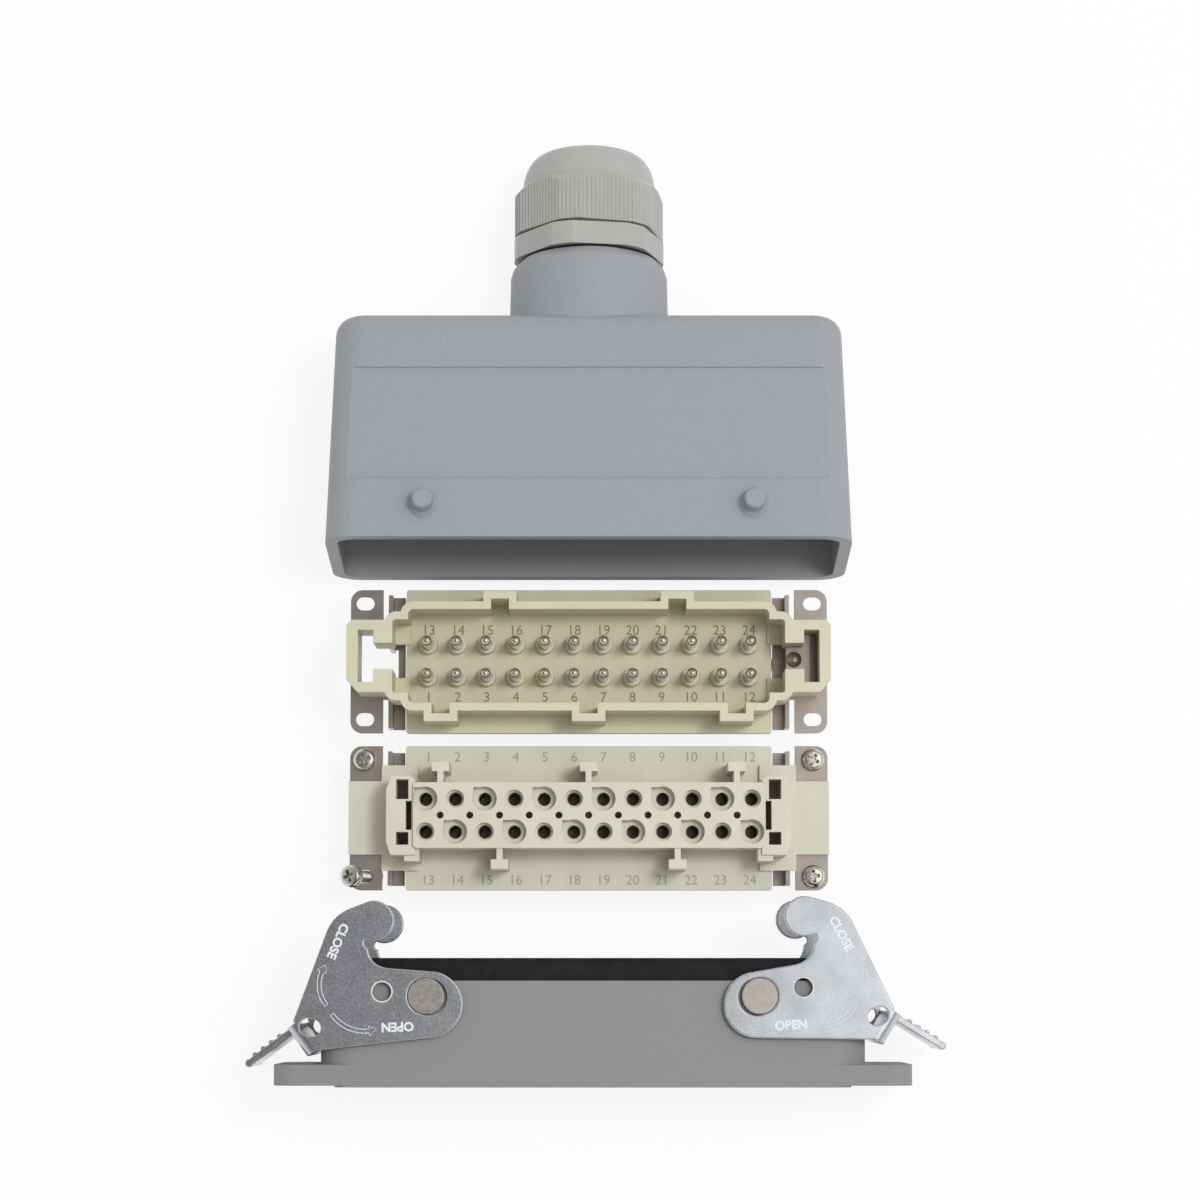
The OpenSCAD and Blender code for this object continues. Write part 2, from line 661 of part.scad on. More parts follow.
module housing_shell() color(housing_paint) at_housing() difference() {
    union() {
        difference() {
            union() {
                slab(flange_length, housing_width, 4.5, 0, flange_thickness);
                slab(wall_length, housing_width, 8, 0, rim_height);
                slab(cutout_x + 4.4, housing_width, 3, -pad_depth, 1);
            }
            slab(wall_length - 2 * housing_wall, housing_width - 2 * housing_wall, 5, flange_thickness, rim_height + 1);
            slab(cutout_x, cutout_y, 4, -1, rim_height);
            slab(wall_length - 2 * ledge_inset, housing_width - 2 * ledge_inset, 7, ledge_z, rim_height + 1);
        }
        pivot_places() rod(ear_r, housing_width / 2 - ledge_inset, housing_width / 2 + ear_proud);
        four_corners(slot_x, slot_y) rod(post_r, 1, rim_height - 8);
        for (i = [-1, 1], j = [-1, 1]) block(i * slot_x - 1, i * slot_x + 1, j > 0 ? slot_y : -housing_width / 2 + 1.5,
            j > 0 ? housing_width / 2 - 1.5 : -slot_y, 1, rim_height - 9);
    }
    four_corners(flange_hole_x / 2, flange_hole_y / 2) rod(flange_hole_d / 2, -1, flange_thickness + 1);
    four_corners(slot_x, slot_y) rod(tapped_r, 4, rim_height);
    pivot_places() rod(pivot_shank_r, housing_width / 2 - housing_wall + 0.3, housing_width);
    seal_ring(-pad_depth - 1, seal_depth - pad_depth);
}

// Ring in the flange's underside, round the cut-out
module seal_ring(z0, z1) difference() {
    inner = 2 * seal_inset;
    slab(cutout_x + inner + 2 * seal_w, cutout_y + inner + 2 * seal_w, 4.4 + seal_w, z0, z1);
    slab(cutout_x + inner, cutout_y + inner, 4.4, z0 - 1, z1 + 1);
}

module flange_seal() color(black_rubber) at_housing() seal_ring(-pad_depth, seal_depth - pad_depth);

module gasket_loop(l, w, wall, r, z0, z1) difference() {
    slab(l, w, r, z0, z1);
    slab(l - 2 * wall, w - 2 * wall, r - wall, z0 - 1, z1 + 1);
}

module housing_gasket() color(black_rubber) at_housing() {
    l = wall_length - 2 * ledge_inset;
    w = housing_width - 2 * ledge_inset;
    gasket_loop(l, w, gasket_w + 0.4, 7, ledge_z, gasket_top - 0.9);
    gasket_loop(l - 1.2, w - 1.2, gasket_w - 0.8, 6.4, gasket_top - 1, gasket_top);
    gasket_loop(wall_length - 2 * housing_wall, housing_width - 2 * housing_wall, gasket_skirt, 5,
        rim_height - 7, ledge_z + 1);
}

module lever_pivots() color(nickel) at_housing() pivot_places() {
    rod(pivot_shank_r, housing_width / 2 - housing_wall + 0.3, housing_width / 2 + ear_proud);
    rod(pivot_d / 2, housing_width / 2 + ear_proud, lever_outer - 0.1);
}

// ----------------------------------------------------------------- levers

module lever_outline() {
    web_foot = [-web_x + fold_out, web_low];
    web_head = [-web_x + fold_out, web_high + 0.5];
    edge_touch = tangent_point(web_head, shoulder_c, shoulder_r, 1);
    arm_touch = tangent_point(web_foot, arm_c, arm_r, -1);
    top_normal = tangent_normal(shoulder_c, shoulder_r, hook_c, hook_r, 1);
    arm_shoulder = arm_c + arm_r * [cos(43.5), sin(43.5)];
    mouth_foot = [-3.3, 10.3];
    difference() {
        union() {
            polygon([web_foot, web_head, edge_touch, shoulder_c, hook_c, arm_c, arm_touch]);
            polygon([mouth_foot, arm_shoulder, arm_c]);
            polygon([shoulder_c, shoulder_c + shoulder_r * top_normal, hook_c + hook_r * top_normal, hook_c]);
            translate(shoulder_c) circle(shoulder_r);
            translate(arm_c) circle(arm_r);
        }
        circle(d = pivot_d + 0.3);
        translate([0.45, -0.6]) circle(d = pivot_d + 0.3);
        translate([-7.3, 6.7]) circle(2.1);
        translate([-24.6, 9.6]) circle(1.9);
        translate([-25.2, 10.4]) circle(1.9);
        difference() {
            union() {
                translate(mouth_c) circle(mouth_r);
                translate(notch_c) circle(notch_r);
                polygon([mouth_foot, arm_shoulder, [14, arm_shoulder[1]], [14, 21], hook_c, notch_c]);
            }
            translate(hook_c) circle(hook_r);
        }
    }
    translate(hook_c) circle(hook_r);
}

// One lever, folded from sheet, closed and drawn round its axis
module lever() {
    for (s = [0, 1]) mirror([0, 0, s]) {
        translate([0, 0, lever_inner]) linear_extrude(lever_sheet) lever_outline();
        translate([-web_x + fold_out, web_low, lever_outer - fold_out]) rotate([-90, 0, 0]) rotate([0, 0, 180])
            rotate_extrude(angle = 90) translate([fold_r, 0]) square([lever_sheet, web_high - web_low]);
    }
    block(-web_x, -web_x + lever_sheet, web_low, web_high, -lever_outer + fold_out, lever_outer - fold_out);
    block(-web_x - tab_length, -web_x + 0.5, tab_y - 1.5, tab_y, -tab_width / 2, tab_width / 2);
    translate([-web_x - tab_length, tab_y - 0.75, -tab_width / 2]) cylinder(r = roll_r, h = tab_width);
    for (i = [0:3]) translate([-web_x - 3 - 2.3 * i, tab_y, -tab_width / 2 + 1]) cylinder(r = 0.6, h = tab_width - 2);
}

module at_pivot(side) translate([-middle_x + side * pivot_x, flange_y + pivot_z - middle_y, lever_outer]) children();

module lever_left() color(zinc) at_pivot(-1) rotate([0, 0, left_open]) lever();
module lever_right() color(zinc) at_pivot(1) rotate([0, 0, -right_open]) mirror([1, 0, 0]) lever();

hood_shell();
gland_washer();
gland_body();
gland_seal();
gland_nut();
male_body();
male_pins_upper();
male_pins_lower();
male_terminal_screws();
male_earth_plate_left();
male_earth_plate_right();
male_earth_screw();
male_earth_clamp();
female_body();
female_sockets_upper();
female_sockets_lower();
female_terminal_screws();
female_earth_plate_left();
female_earth_plate_right();
female_earth_screw();
female_earth_clamp();
female_mounting_screws();
housing_shell();
housing_gasket();
flange_seal();
lever_pivots();
lever_left();
lever_right();
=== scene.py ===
"""Looks of a rectangular multipole connector that lies on a table in parts."""

import json
import math

import bmesh
import bpy
from bpy.props import FloatProperty, FloatVectorProperty, IntProperty, PointerProperty
from mathutils import Matrix, Vector


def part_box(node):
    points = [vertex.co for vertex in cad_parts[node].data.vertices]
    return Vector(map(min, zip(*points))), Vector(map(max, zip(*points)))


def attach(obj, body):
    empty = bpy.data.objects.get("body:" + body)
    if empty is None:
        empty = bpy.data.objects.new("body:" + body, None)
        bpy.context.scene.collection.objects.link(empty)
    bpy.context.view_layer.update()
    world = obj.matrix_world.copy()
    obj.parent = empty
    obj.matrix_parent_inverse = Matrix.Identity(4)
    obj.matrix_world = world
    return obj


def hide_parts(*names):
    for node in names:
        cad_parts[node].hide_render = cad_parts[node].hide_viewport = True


bl_info = {
    "name": "Rectangular Connector Set",
    "version": (1, 0),
    "blender": (4, 5, 0),
    "location": "View3D > Sidebar > Connector",
    "description": "Finishes, lettering and screws of a multipole connector laid out in parts",
    "category": "Object",
}

MM = 0.001
COLUMNS = 12
# Radius of a contact's widest round
CONTACT_RADIUS = 2.1 * MM

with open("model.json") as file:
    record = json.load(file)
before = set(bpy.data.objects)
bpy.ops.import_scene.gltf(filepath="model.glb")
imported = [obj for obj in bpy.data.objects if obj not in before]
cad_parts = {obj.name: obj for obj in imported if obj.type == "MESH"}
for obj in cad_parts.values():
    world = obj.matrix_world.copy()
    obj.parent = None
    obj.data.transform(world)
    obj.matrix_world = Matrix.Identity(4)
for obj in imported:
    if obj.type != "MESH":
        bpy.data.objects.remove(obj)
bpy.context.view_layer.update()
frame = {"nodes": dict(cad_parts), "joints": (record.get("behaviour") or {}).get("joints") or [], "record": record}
NODES = frame["nodes"]
MOUNTS = {m["name"]: m for m in frame["record"]["mounts"]}
JOINTS = {j["name"]: j for j in frame["joints"]}


def linear(code):
    """Linear RGB of an sRGB hex colour."""
    def channel(c):
        return c / 12.92 if c <= 0.04045 else ((c + 0.055) / 1.055) ** 2.4
    return tuple(channel(int(code[i:i + 2], 16) / 255) for i in (0, 2, 4))


def middle(node):
    low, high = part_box(node)
    return (low + high) / 2


MALE, FEMALE = middle("male_body"), middle("female_body")
# Height of the faces that carry the numbers, and of the levers' upper sides
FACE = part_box("male_earth_plate_left")[1].z
LEVER_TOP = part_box("lever_left")[1].z
# Half the spacing of an insert's mounting slots
SLOTS = MOUNTS["male_insert_slots"]["dims"]
SLOT_X, SLOT_Y = SLOTS["spacing_x_mm"] * MM / 2, SLOTS["spacing_y_mm"] * MM / 2


# -------------------------------------------------------------- settings


def colour(label, code, about):
    return FloatVectorProperty(name=label, description=about, subtype="COLOR", size=3,
                               min=0, max=1, default=linear(code))


def length(label, millimetres, about):
    return FloatProperty(name=label, description=about, subtype="DISTANCE", unit="LENGTH",
                         default=millimetres * MM, precision=5)


def spot(label, metres, about):
    return FloatVectorProperty(name=label, description=about, subtype="TRANSLATION", unit="LENGTH",
                               size=3, default=metres)


def level(label, value, about):
    return FloatProperty(name=label, description=about, default=value, min=0)


class FinishSettings(bpy.types.PropertyGroup):
    """Colours of the connector's finishes"""
    hood_paint: colour("Hood paint", "9DA0A4", "Bluish grey powder coat of the hood")
    housing_paint: colour("Housing paint", "8D8F8C", "Greenish grey powder coat of the housing")
    male: colour("Male insert plastic", "D6D2B8", "Pebble grey polycarbonate of the male insert")
    female: colour("Female insert plastic", "D6D4C3", "Pebble grey polycarbonate of the female insert")
    gland: colour("Gland plastic", "B1B2AE", "Light grey polyamide of the cable gland")
    rubber: colour("Rubber", "1D1C20", "Nitrile rubber of the gasket and seals")
    nickel: colour("Nickel", "BDB2AA", "Warm grey nickel plate on the earth plates")
    zinc: colour("Zinc", "CDD0D4", "Blue-white zinc plate on the levers")
    silver: colour("Silver", "DAD7CC", "Silver plate on the pins")
    # The socket brass is much darker than the pins' silver: painted shade deep inside the sockets' bores
    socket: colour("Socket brass", "8A8378", "Dull plated brass inside the sockets")
    bright: colour("Bright steel", "D6D3CA", "Bright zinc on the screws")
    pivot: colour("Pivot steel", "CFC7BF", "Bare rivet steel of the lever pivots")
    # Both number colours are darker than their plastic: painted shade along the edges of the moulded numbers,
    # fainter on the female insert
    ink: colour("Male number shade", "8A8674", "Shade of the moulded numbers of the male insert")
    faint: colour("Female number shade", "A9A694", "Shade of the shallow numbers of the female insert")


class LetteringSettings(bpy.types.PropertyGroup):
    """Sizes and places of the numbers and words"""
    number_height: length("Number height", 2.35, "Height of a contact number")
    number_relief: length("Number relief", 0.08, "Height of the contact numbers over the plastic")
    male_upper: length("Male upper row", 7.45, "Numbers 13 to 24, above the male insert's middle")
    male_lower: length("Male lower row", -8.15, "Numbers 1 to 12, below the male insert's middle")
    female_upper: length("Female upper row", 14.3, "Numbers 1 to 12, above the female insert's middle")
    female_lower: length("Female lower row", -14.2, "Numbers 13 to 24, below the female insert's middle")
    word_height: length("Word height", 2.05, "Height of the stamped words on the levers")
    word_relief: length("Word relief", 0.05, "Height of the burr that a stamp leaves")
    word_bold: level("Word boldness", 0.05, "Share of its height by which a word's strokes are thickened")
    stroke: length("Arrow stroke", 0.26, "Width of an arrow's outline on the levers")
    rim: length("Hole rim", 0.42, "Width of the turned-up rim round a lever's small hole")


class ScrewSettings(bpy.types.PropertyGroup):
    """Sizes of the mounting screws"""
    head_radius: length("Head radius", 2.65, "Radius of the pan head")
    head_height: length("Head height", 2.1, "Height of the pan head")
    thread_radius: length("Thread radius", 1.45, "Outer radius of the thread")
    core_radius: length("Core radius", 1.18, "Radius of the shank under the thread")
    pitch: length("Thread pitch", 0.5, "Distance from one thread to the next")
    shank: length("Shank length", 13, "Length under the head")
    recess_arm: length("Recess arm", 1.45, "Reach of the cross recess from the middle")
    recess_slot: length("Recess slot", 0.36, "Half the width of the cross recess")
    recess_depth: length("Recess depth", 1.3, "Depth of the cross recess")
    steps: IntProperty(name="Steps", description="Steps round a screw head", default=36, min=12, max=72)


class StageSettings(bpy.types.PropertyGroup):
    """Camera, light and floor"""
    camera_height: length("Camera height", 1000, "Height of the camera over the table")
    camera_back: length("Camera set-back", 20.7, "Way from the housing's flange to the point below the camera")
    camera_side: length("Camera side", 0.99, "Way from the middle to the point below the camera")
    camera_tilt: FloatProperty(name="Camera tilt", description="Angle off the vertical",
                               subtype="ANGLE", default=math.radians(5.34))
    lens: FloatProperty(name="Lens", description="Focal length on a 36 mm sensor", default=126.75, min=1)
    key_place: spot("Key place", (0.36, 0.12, 1.4), "Middle of the small lamp, which casts the shadows")
    key_size: length("Key size", 220, "Side of the small lamp")
    key: level("Key light", 7.6, "Power of the small lamp")
    panel_place: spot("Panel place", (0.62, 0.1, 1.4), "Middle of the panel that metal reflects")
    panel_width: length("Panel width", 1080, "Size of the panel along X")
    panel_depth: length("Panel depth", 1200, "Size of the panel along Y")
    panel: level("Light panel", 5.6, "Power of the panel")
    sky: level("Sky", 0.47, "Brightness of the surroundings")
    zenith: level("Zenith", 0.2, "Brightness that polished metal sees straight overhead")
    ground_glow: level("Ground glow", 0.88, "Share of the ground that shows as plain white")


# ------------------------------------------------------------- materials


def add(tree, kind, inputs=(), **settings):
    """Adds a node with its settings, and sets or links its inputs."""
    node = tree.nodes.new(kind)
    for key, value in settings.items():
        setattr(node, key, value)
    for key, value in dict(inputs).items():
        if isinstance(value, bpy.types.NodeSocket):
            tree.links.new(value, node.inputs[key])
        else:
            node.inputs[key].default_value = value
    return node


def start(name, base, roughness, metallic=0.0, bevel=0.0, **constants):
    """Principled material whose edges are rounded by a small bevel."""
    material = bpy.data.materials.new(name)
    material.use_nodes = True
    material.diffuse_color = (*base, 1)
    tree = material.node_tree
    shader = tree.nodes["Principled BSDF"]
    shader.inputs["Base Color"].default_value = (*base, 1)
    shader.inputs["Roughness"].default_value = roughness
    shader.inputs["Metallic"].default_value = metallic
    for key, value in constants.items():
        shader.inputs[key.replace("_", " ")].default_value = value
    here = add(tree, "ShaderNodeTexCoord").outputs["Object"]
    edge = add(tree, "ShaderNodeBevel", {"Radius": bevel}, samples=6).outputs["Normal"] if bevel else None
    return material, tree, shader, here, edge


def noise(tree, here, size, detail=2.0, roughness=0.5, stretch=None):
    """Noise whose features are about size metres across, drawn out where stretch says."""
    if stretch:
        here = add(tree, "ShaderNodeMapping", {"Vector": here, "Scale": stretch}).outputs[0]
    return add(tree, "ShaderNodeTexNoise", {"Vector": here, "Scale": 1 / size, "Detail": detail,
                                            "Roughness": roughness}).outputs["Fac"]


def spread(tree, value, low, high, start_at=0.3, end_at=0.7):
    """Maps a noise's middle range to low and high."""
    return add(tree, "ShaderNodeMapRange", {"Value": value, "From Min": start_at, "From Max": end_at,
                                            "To Min": low, "To Max": high}).outputs[0]


def tint(tree, shader, factor, base, dark, light):
    """Base colour that runs from dark times the base to light times the base."""
    mix = add(tree, "ShaderNodeMix", {"Factor": factor, "A": (*[c * dark for c in base], 1),
                                      "B": (*[min(1, c * light) for c in base], 1)}, data_type="RGBA")
    tree.links.new(mix.outputs["Result"], shader.inputs["Base Color"])


def relief(tree, shader, height, depth, strength, edge):
    """Bump of the given depth in metres, on top of the bevelled edges where there are any."""
    inputs = {"Height": height, "Distance": depth, "Strength": strength}
    if edge:
        inputs["Normal"] = edge
    tree.links.new(add(tree, "ShaderNodeBump", inputs).outputs[0], shader.inputs["Normal"])


def powder_coat(name, base, grain):
    """Polyester powder coat baked on a die-cast aluminium shell: a satin skin with a fine
    orange peel that follows the sandy casting, so highlights break up into grain."""
    material, tree, shader, here, edge = start(name, base, roughness=0.46, bevel=0.35 * MM)
    peel = noise(tree, here, grain, 3, 0.65)
    tint(tree, shader, spread(tree, peel, 0, 1), base, 0.93, 1.06)
    tree.links.new(spread(tree, peel, 0.4, 0.56), shader.inputs["Roughness"])
    relief(tree, shader, peel, 0.04 * MM, 0.5, edge)
    return material


def moulded(name, base, roughness, grain=0.5 * MM, bevel=0.22 * MM, **constants):
    """Injection-moulded plastic: even colour with faint flow clouds, and a fine spark-eroded
    texture left by the tool that softens its highlights."""
    material, tree, shader, here, edge = start(name, base, roughness, bevel=bevel, **constants)
    spark = noise(tree, here, grain, 2, 0.6)
    flow = noise(tree, here, 9 * MM, 3, 0.55, (1, 0.4, 1))
    tint(tree, shader, spread(tree, flow, 0, 1), base, 0.955, 1.03)
    tree.links.new(spread(tree, spark, roughness - 0.06, roughness + 0.08), shader.inputs["Roughness"])
    relief(tree, shader, spark, 0.012 * MM, 0.45, edge)
    return material


def rubber(name, base):
    """Moulded nitrile rubber: near black and matt, with dusty bloom in soft clouds."""
    material, tree, shader, here, edge = start(name, base, roughness=0.66, bevel=0.2 * MM,
                                                Specular_IOR_Level=0.25)
    bloom = noise(tree, here, 3 * MM, 3, 0.6)
    skin = noise(tree, here, 0.3 * MM, 2)
    tint(tree, shader, spread(tree, bloom, 0, 1, 0.4, 0.7), base, 0.85, 1.5)
    tree.links.new(spread(tree, bloom, 0.54, 0.7), shader.inputs["Roughness"])
    relief(tree, shader, skin, 0.012 * MM, 0.5, edge)
    return material


def rolled_sheet(name, base):
    """Nickel-plated rolled sheet: a warm silky metal with a rolling grain along X, drawn
    coarser than the real one so that it shows."""
    material, tree, shader, here, edge = start(name, base, roughness=0.36, metallic=1, bevel=0.15 * MM)
    grain = noise(tree, here, 0.16 * MM, 3, 0.6, (0.06, 1, 1))
    stain = noise(tree, here, 5 * MM, 3)
    tint(tree, shader, spread(tree, stain, 0, 1), base, 0.88, 1.06)
    tree.links.new(spread(tree, grain, 0.3, 0.44), shader.inputs["Roughness"])
    relief(tree, shader, grain, 0.006 * MM, 0.4, edge)
    return material


def zinc_plate(name, base):
    """Drum zinc-plated steel: a silky face with fine matt pits from the tumbling, soft
    unevenness of the rolled sheet, and rubbed bright edges."""
    material, tree, shader, here, edge = start(name, base, roughness=0.28, metallic=1, bevel=0.6 * MM)
    pits = noise(tree, here, 0.4 * MM, 4, 0.7)
    bloom = noise(tree, here, 7 * MM, 3, 0.5)
    both = add(tree, "ShaderNodeMath", {0: pits, 1: bloom}, operation="ADD").outputs[0]
    tint(tree, shader, spread(tree, both, 0, 1, 0.78, 1.24), base, 0.84, 1.1)
    tree.links.new(spread(tree, pits, 0.2, 0.32), shader.inputs["Roughness"])
    relief(tree, shader, pits, 0.012 * MM, 0.4, edge)
    return material


def turned_metal(name, base, roughness):
    """Turned and plated metal: bright, with tool lines round its height, drawn coarser than
    the real ones so that they show."""
    material, tree, shader, here, edge = start(name, base, roughness, metallic=1, bevel=0.1 * MM)
    lines = noise(tree, here, 0.12 * MM, 2, 0.5, (0.3, 0.3, 1))
    dull = noise(tree, here, 1.5 * MM, 2)
    tint(tree, shader, spread(tree, dull, 0, 1), base, 0.86, 1.08)
    tree.links.new(spread(tree, lines, roughness - 0.05, roughness + 0.08), shader.inputs["Roughness"])
    relief(tree, shader, lines, 0.004 * MM, 0.35, edge)
    return material


def pivot_steel(name, base):
    """Cold-headed rivet face: bare steel with faint turning rings round each lever's axis,
    which stain and wear break up."""
    material, tree, shader, here, edge = start(name, base, roughness=0.34, metallic=1, bevel=0.3 * MM)
    ring_spacing = 0.22 * MM
    left, right = (JOINTS[n]["pos_m"] for n in ("lever_left_swing", "lever_right_swing"))
    # One side is folded onto the other, so that both pivots share one set of rings
    centre = add(tree, "ShaderNodeVectorMath", {0: here, 1: ((left[0] + right[0]) / 2, left[1], 0)},
                 operation="SUBTRACT").outputs[0]
    fold = add(tree, "ShaderNodeVectorMath", {0: centre}, operation="ABSOLUTE").outputs[0]
    place = add(tree, "ShaderNodeVectorMath", {0: fold, 1: ((right[0] - left[0]) / 2, 0, 0)},
                operation="SUBTRACT").outputs[0]
    flat = add(tree, "ShaderNodeVectorMath", {0: place, 1: (1, 1, 0)}, operation="MULTIPLY").outputs[0]
    radius = add(tree, "ShaderNodeVectorMath", {0: flat}, operation="LENGTH").outputs["Value"]
    wave = add(tree, "ShaderNodeMath", {0: radius, 1: 2 * math.pi / ring_spacing}, operation="MULTIPLY")
    rings = add(tree, "ShaderNodeMath", {0: wave.outputs[0]}, operation="SINE").outputs[0]
    dull = noise(tree, here, 1.2 * MM, 3, 0.6)
    tint(tree, shader, spread(tree, dull, 0, 1), base, 0.8, 1.1)
    tree.links.new(spread(tree, dull, 0.28, 0.45), shader.inputs["Roughness"])
    relief(tree, shader, rings, 0.004 * MM, 0.25, edge)
    return material


def zinc_painted_highlight(name, base):
    """Burr that a stamp leaves in zinc plate, brighter than the sheet as a painted highlight of the stamped edges;
    it scatters light to all sides.
    """
    material, tree, shader, here, _ = start(name, base, roughness=0.5, metallic=0.1)
    rub = noise(tree, here, 0.3 * MM, 2)
    tint(tree, shader, spread(tree, rub, 0, 1), base, 0.85, 1.1)
    tree.links.new(spread(tree, rub, 0.4, 0.6), shader.inputs["Roughness"])
    return material


def dress(material, *nodes):
    """Gives CAD nodes their finish."""
    for name in nodes:
        mesh = NODES[name].data
        mesh.materials.clear()
        mesh.materials.append(material)


# ------------------------------------------------------- making a piece


def piece(name, bm, material, body):
    """Finished object at the origin, with its place in its mesh."""
    bmesh.ops.remove_doubles(bm, verts=bm.verts, dist=1e-7)
    bmesh.ops.recalc_face_normals(bm, faces=bm.faces)
    mesh = bpy.data.meshes.new(name)
    bm.to_mesh(mesh)
    bm.free()
    mesh.materials.append(material)
    made = bpy.data.objects.new(name, mesh)
    bpy.context.scene.collection.objects.link(made)
    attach(made, body)
    return made


def add_curve(bm, curve, place):
    """Adds the mesh of a curve or a text to bm at place, and removes the curve."""
    maker = bpy.data.objects.new("maker", curve)
    mesh = bpy.data.meshes.new_from_object(maker)
    mesh.transform(place)
    bm.from_mesh(mesh)
    bpy.data.meshes.remove(mesh)
    bpy.data.objects.remove(maker)
    bpy.data.curves.remove(curve)


def write(bm, text, height, relief_height, place, bold=0.0):
    """Adds a line of raised lettering, centred at place; bold is a share of its height."""
    curve = bpy.data.curves.new("line", "FONT")
    curve.body = text
    curve.align_x, curve.align_y = "CENTER", "BOTTOM_BASELINE"
    # A capital of the built-in font is 0.73 of its size high
    curve.size = height / 0.73
    curve.offset = bold * height
    curve.extrude = relief_height / 2
    curve.resolution_u = 3
    add_curve(bm, curve, place @ Matrix.Translation((0, -height / 2, relief_height / 2)))


def polar(centre, radius, angle):
    """The point at an angle in degrees, radius away from centre."""
    return Vector(centre) + Matrix.Rotation(math.radians(angle), 3, "Z") @ Vector((radius, 0, 0))


def wire(bm, points, stroke, place):
    """Adds a closed wire of the given stroke through points."""
    curve = bpy.data.curves.new("wire", "CURVE")
    curve.dimensions = "3D"
    curve.bevel_depth, curve.bevel_resolution = stroke / 2, 0
    spline = curve.splines.new("POLY")
    spline.points.add(len(points) - 1)
    for knot, point in zip(spline.points, points):
        knot.co = (*point, 1)
    spline.use_cyclic_u = True
    add_curve(bm, curve, place)


def arrow(bm, centre, radius, begin, end, stroke, place):
    """Adds the outline of an arrow that runs round centre from one angle to another, in degrees."""
    head, shaft, barb, steps = 1.7 * MM, 0.45 * MM, 1.1 * MM, 8
    neck = end - math.copysign(math.degrees(head / radius), end - begin)
    arc = [begin + (neck - begin) * i / steps for i in range(steps + 1)]
    outline = [(shaft, angle) for angle in arc] + [(barb, neck), (0, end), (-barb, neck)]
    outline += [(-shaft, angle) for angle in reversed(arc)]
    wire(bm, [polar(centre, radius + out, angle) for out, angle in outline], stroke, place)


def contact_columns():
    """X offsets of the contact columns, from the pins' node."""
    low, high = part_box("male_pins_upper")
    half = (high.x - low.x) / 2 - CONTACT_RADIUS
    return [-half + 2 * half * i / (COLUMNS - 1) for i in range(COLUMNS)]


# ---------------------------------------------------------------- pieces


class InsertNumbers(bpy.types.Operator):
    """Moulded contact numbers on both inserts"""
    bl_idname = "connector.insert_numbers"
    bl_label = "Insert Numbers"

    def execute(self, context):
        finish, settings = context.scene.connector_finish, context.scene.connector_lettering
        male_rows = (settings.male_upper, 13), (settings.male_lower, 1)
        female_rows = (settings.female_upper, 1), (settings.female_lower, 13)
        for name, shade, centre, rows in (("male_numbers", finish.ink, MALE, male_rows),
                                          ("female_numbers", finish.faint, FEMALE, female_rows)):
            bm = bmesh.new()
            for i, x in enumerate(contact_columns()):
                for y, first in rows:
                    place = Matrix.Translation((centre.x + x, centre.y + y, FACE))
                    write(bm, str(first + i), settings.number_height, settings.number_relief, place)
            # The numbers' darker colour is painted shade at the edges of their relief
            plastic = moulded(name.replace("_", " ").title(), shade, 0.5, bevel=0)
            piece(name, bm, plastic, "root")
        return {"FINISHED"}


class PinCollars(bpy.types.Operator):
    """Moulded collars round the feet of the pins"""
    bl_idname = "connector.pin_collars"
    bl_label = "Pin Collars"

    def execute(self, context):
        bm = bmesh.new()
        # Section of a collar in millimetres: a square ring whose outer top edge is chamfered
        bore, outer, top = 1.45, 2.15, 3.06
        section = [(bore, 0), (outer, 0), (outer, top - 0.26), (outer - 0.2, top), (bore, top)]
        for x in contact_columns():
            for y in (middle("male_pins_upper").y, middle("male_pins_lower").y):
                foot = Vector((MALE.x + x, y, FACE))
                ring = [bm.verts.new(foot + Vector((r, 0, z)) * MM) for r, z in section]
                edges = [bm.edges.new((ring[i - 1], ring[i])) for i in range(len(ring))]
                bmesh.ops.spin(bm, geom=ring + edges, cent=foot, axis=(0, 0, 1), dvec=(0, 0, 0),
                               angle=2 * math.pi, steps=24, use_merge=True)
        plastic = moulded("Polycarbonate Pin Collars", context.scene.connector_finish.male, 0.42)
        piece("pin_collars", bm, plastic, "root")
        return {"FINISHED"}


def lever_frame(side):
    """Matrix from a lever's closed drawing to its place on the table."""
    joint = JOINTS["lever_left_swing" if side < 0 else "lever_right_swing"]
    turn = -math.radians(joint["range_deg"][0 if side < 0 else 1])
    flip = Matrix.Identity(4) if side < 0 else Matrix.Diagonal((-1, 1, 1, 1))
    x, y, _ = joint["pos_m"]
    return Matrix.Translation((x, y, 0)) @ Matrix.Rotation(turn, 4, "Z") @ flip


